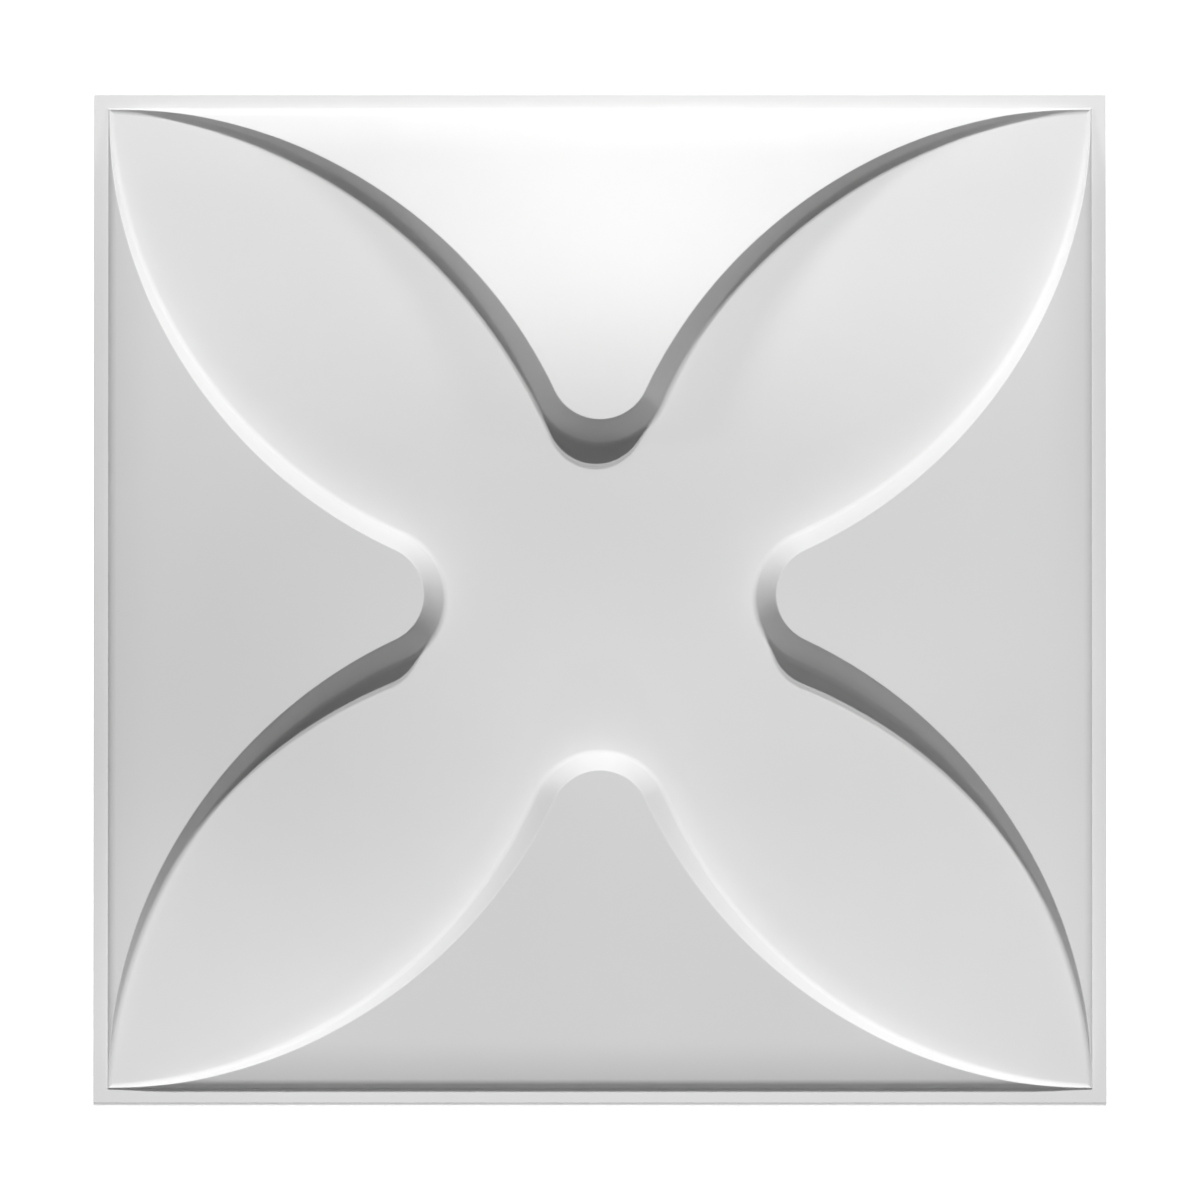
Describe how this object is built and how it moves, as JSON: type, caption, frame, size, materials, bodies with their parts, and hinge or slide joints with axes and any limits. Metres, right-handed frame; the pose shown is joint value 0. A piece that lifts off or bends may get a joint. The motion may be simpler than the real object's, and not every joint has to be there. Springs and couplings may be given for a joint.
{
  "type": "pvc wall panel",
  "caption": "Square thermoformed wall panel with raised shield-shaped pads around a sunken petal cross and a flat glue flange; covers and decorates a wall.",
  "frame": {"origin": "centre of the panel on its back plane", "axes": "+Z out of the decorated face, X and Y along the sides of the square"},
  "size_m": [0.5, 0.5, 0.022],
  "materials": {
    "white_pvc": "satin white, plain moulded surface with no print"
  },
  "bodies": {
    "root": {"wall_panel": "white_pvc"}
  },
  "joints": []
}
